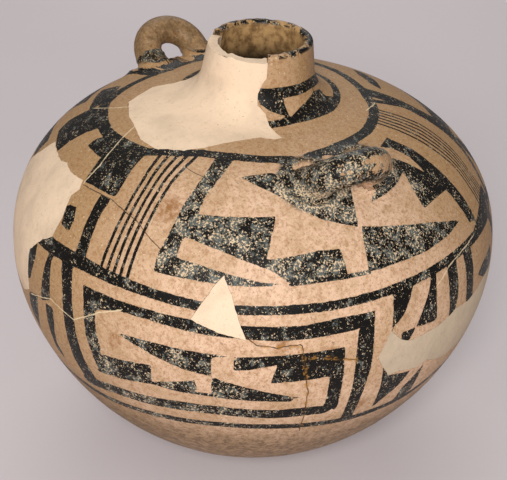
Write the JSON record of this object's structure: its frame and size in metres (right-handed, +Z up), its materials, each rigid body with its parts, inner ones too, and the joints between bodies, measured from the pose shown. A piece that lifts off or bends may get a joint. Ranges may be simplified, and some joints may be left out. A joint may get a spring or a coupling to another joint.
{
  "type": "pottery canteen",
  "caption": "Round painted clay water jar with a short open neck, a small flat foot and loop handles high on the shoulder, mended with plaster.",
  "frame": {"origin": "middle of the flat foot, on the surface that the jar stands on", "axes": "+Z up through the neck; X passes close to the two handles, +X towards the handle that the picture shows in front"},
  "size_m": [0.242, 0.242, 0.218],
  "materials": {
    "painted_clay": "matte",
    "pale_plaster": "matte",
    "tinted_plaster": "matte"
  },
  "bodies": {
    "root": {"vessel": "painted_clay", "fill_neck": "pale_plaster", "fill_left": "pale_plaster", "fill_front": "pale_plaster", "fill_right": "tinted_plaster"}
  },
  "joints": []
}
